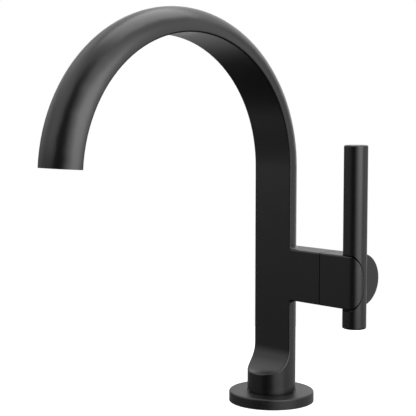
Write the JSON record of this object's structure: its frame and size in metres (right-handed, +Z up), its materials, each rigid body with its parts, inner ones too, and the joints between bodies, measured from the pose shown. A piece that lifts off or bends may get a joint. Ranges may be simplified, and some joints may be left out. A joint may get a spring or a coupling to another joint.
{
  "type": "bathroom sink faucet",
  "caption": "Deck-mounted bathroom sink faucet with a half-round arched spout and a side valve arm whose upright rod handle turns towards the user.",
  "frame": {"origin": "centre of the round base on the deck surface, on the axis of the mounting shank", "axes": "+Z up, -Y towards the user along the spout, +X towards the valve arm and the handle"},
  "size_m": [0.0966, 0.2103, 0.3112],
  "materials": {
    "matte_black": "satin to matte black coating on brass",
    "brass": "machined",
    "copper_tube": "drawn tube",
    "steel": "zinc plated",
    "rubber": "moulded",
    "ceramic": "lapped ceramic",
    "polymer": "moulded",
    "limit_polymer": "moulded"
  },
  "bodies": {
    "faucet": {"spout_body": "matte_black", "escutcheon": "matte_black", "escutcheon_gasket": "rubber", "base_o_ring": "rubber", "mounting_shank": "brass", "inlet_block": "brass", "hot_supply_tube": "copper_tube", "cold_supply_tube": "copper_tube", "outlet_waterway": "polymer", "deck_rubber_washer": "rubber", "deck_steel_washer": "steel", "mounting_nut": "brass", "thrust_screws": "steel", "aerator_housing": "matte_black", "aerator_insert": "polymer", "aerator_seal": "rubber", "cartridge_shell": "polymer", "cartridge_base": "polymer", "port_seals": "rubber", "fixed_ceramic_disc": "ceramic", "retaining_nut": "brass", "limit_ring": "limit_polymer", "glide_ring": "polymer"},
    "handle": {"handle_hub": "matte_black", "handle_rod": "matte_black", "cartridge_stem": "brass", "moving_ceramic_disc": "ceramic", "stem_o_ring": "rubber", "stem_adapter": "brass", "adapter_screw": "steel", "set_screw": "steel", "rod_screw": "steel"}
  },
  "joints": [
    {"name": "handle_turn", "type": "hinge", "parent": "faucet", "child": "handle", "pos_m": [0.03, 0.0163, 0.083], "axis": [1, 0, 0], "range_deg": [0, 90]}
  ]
}
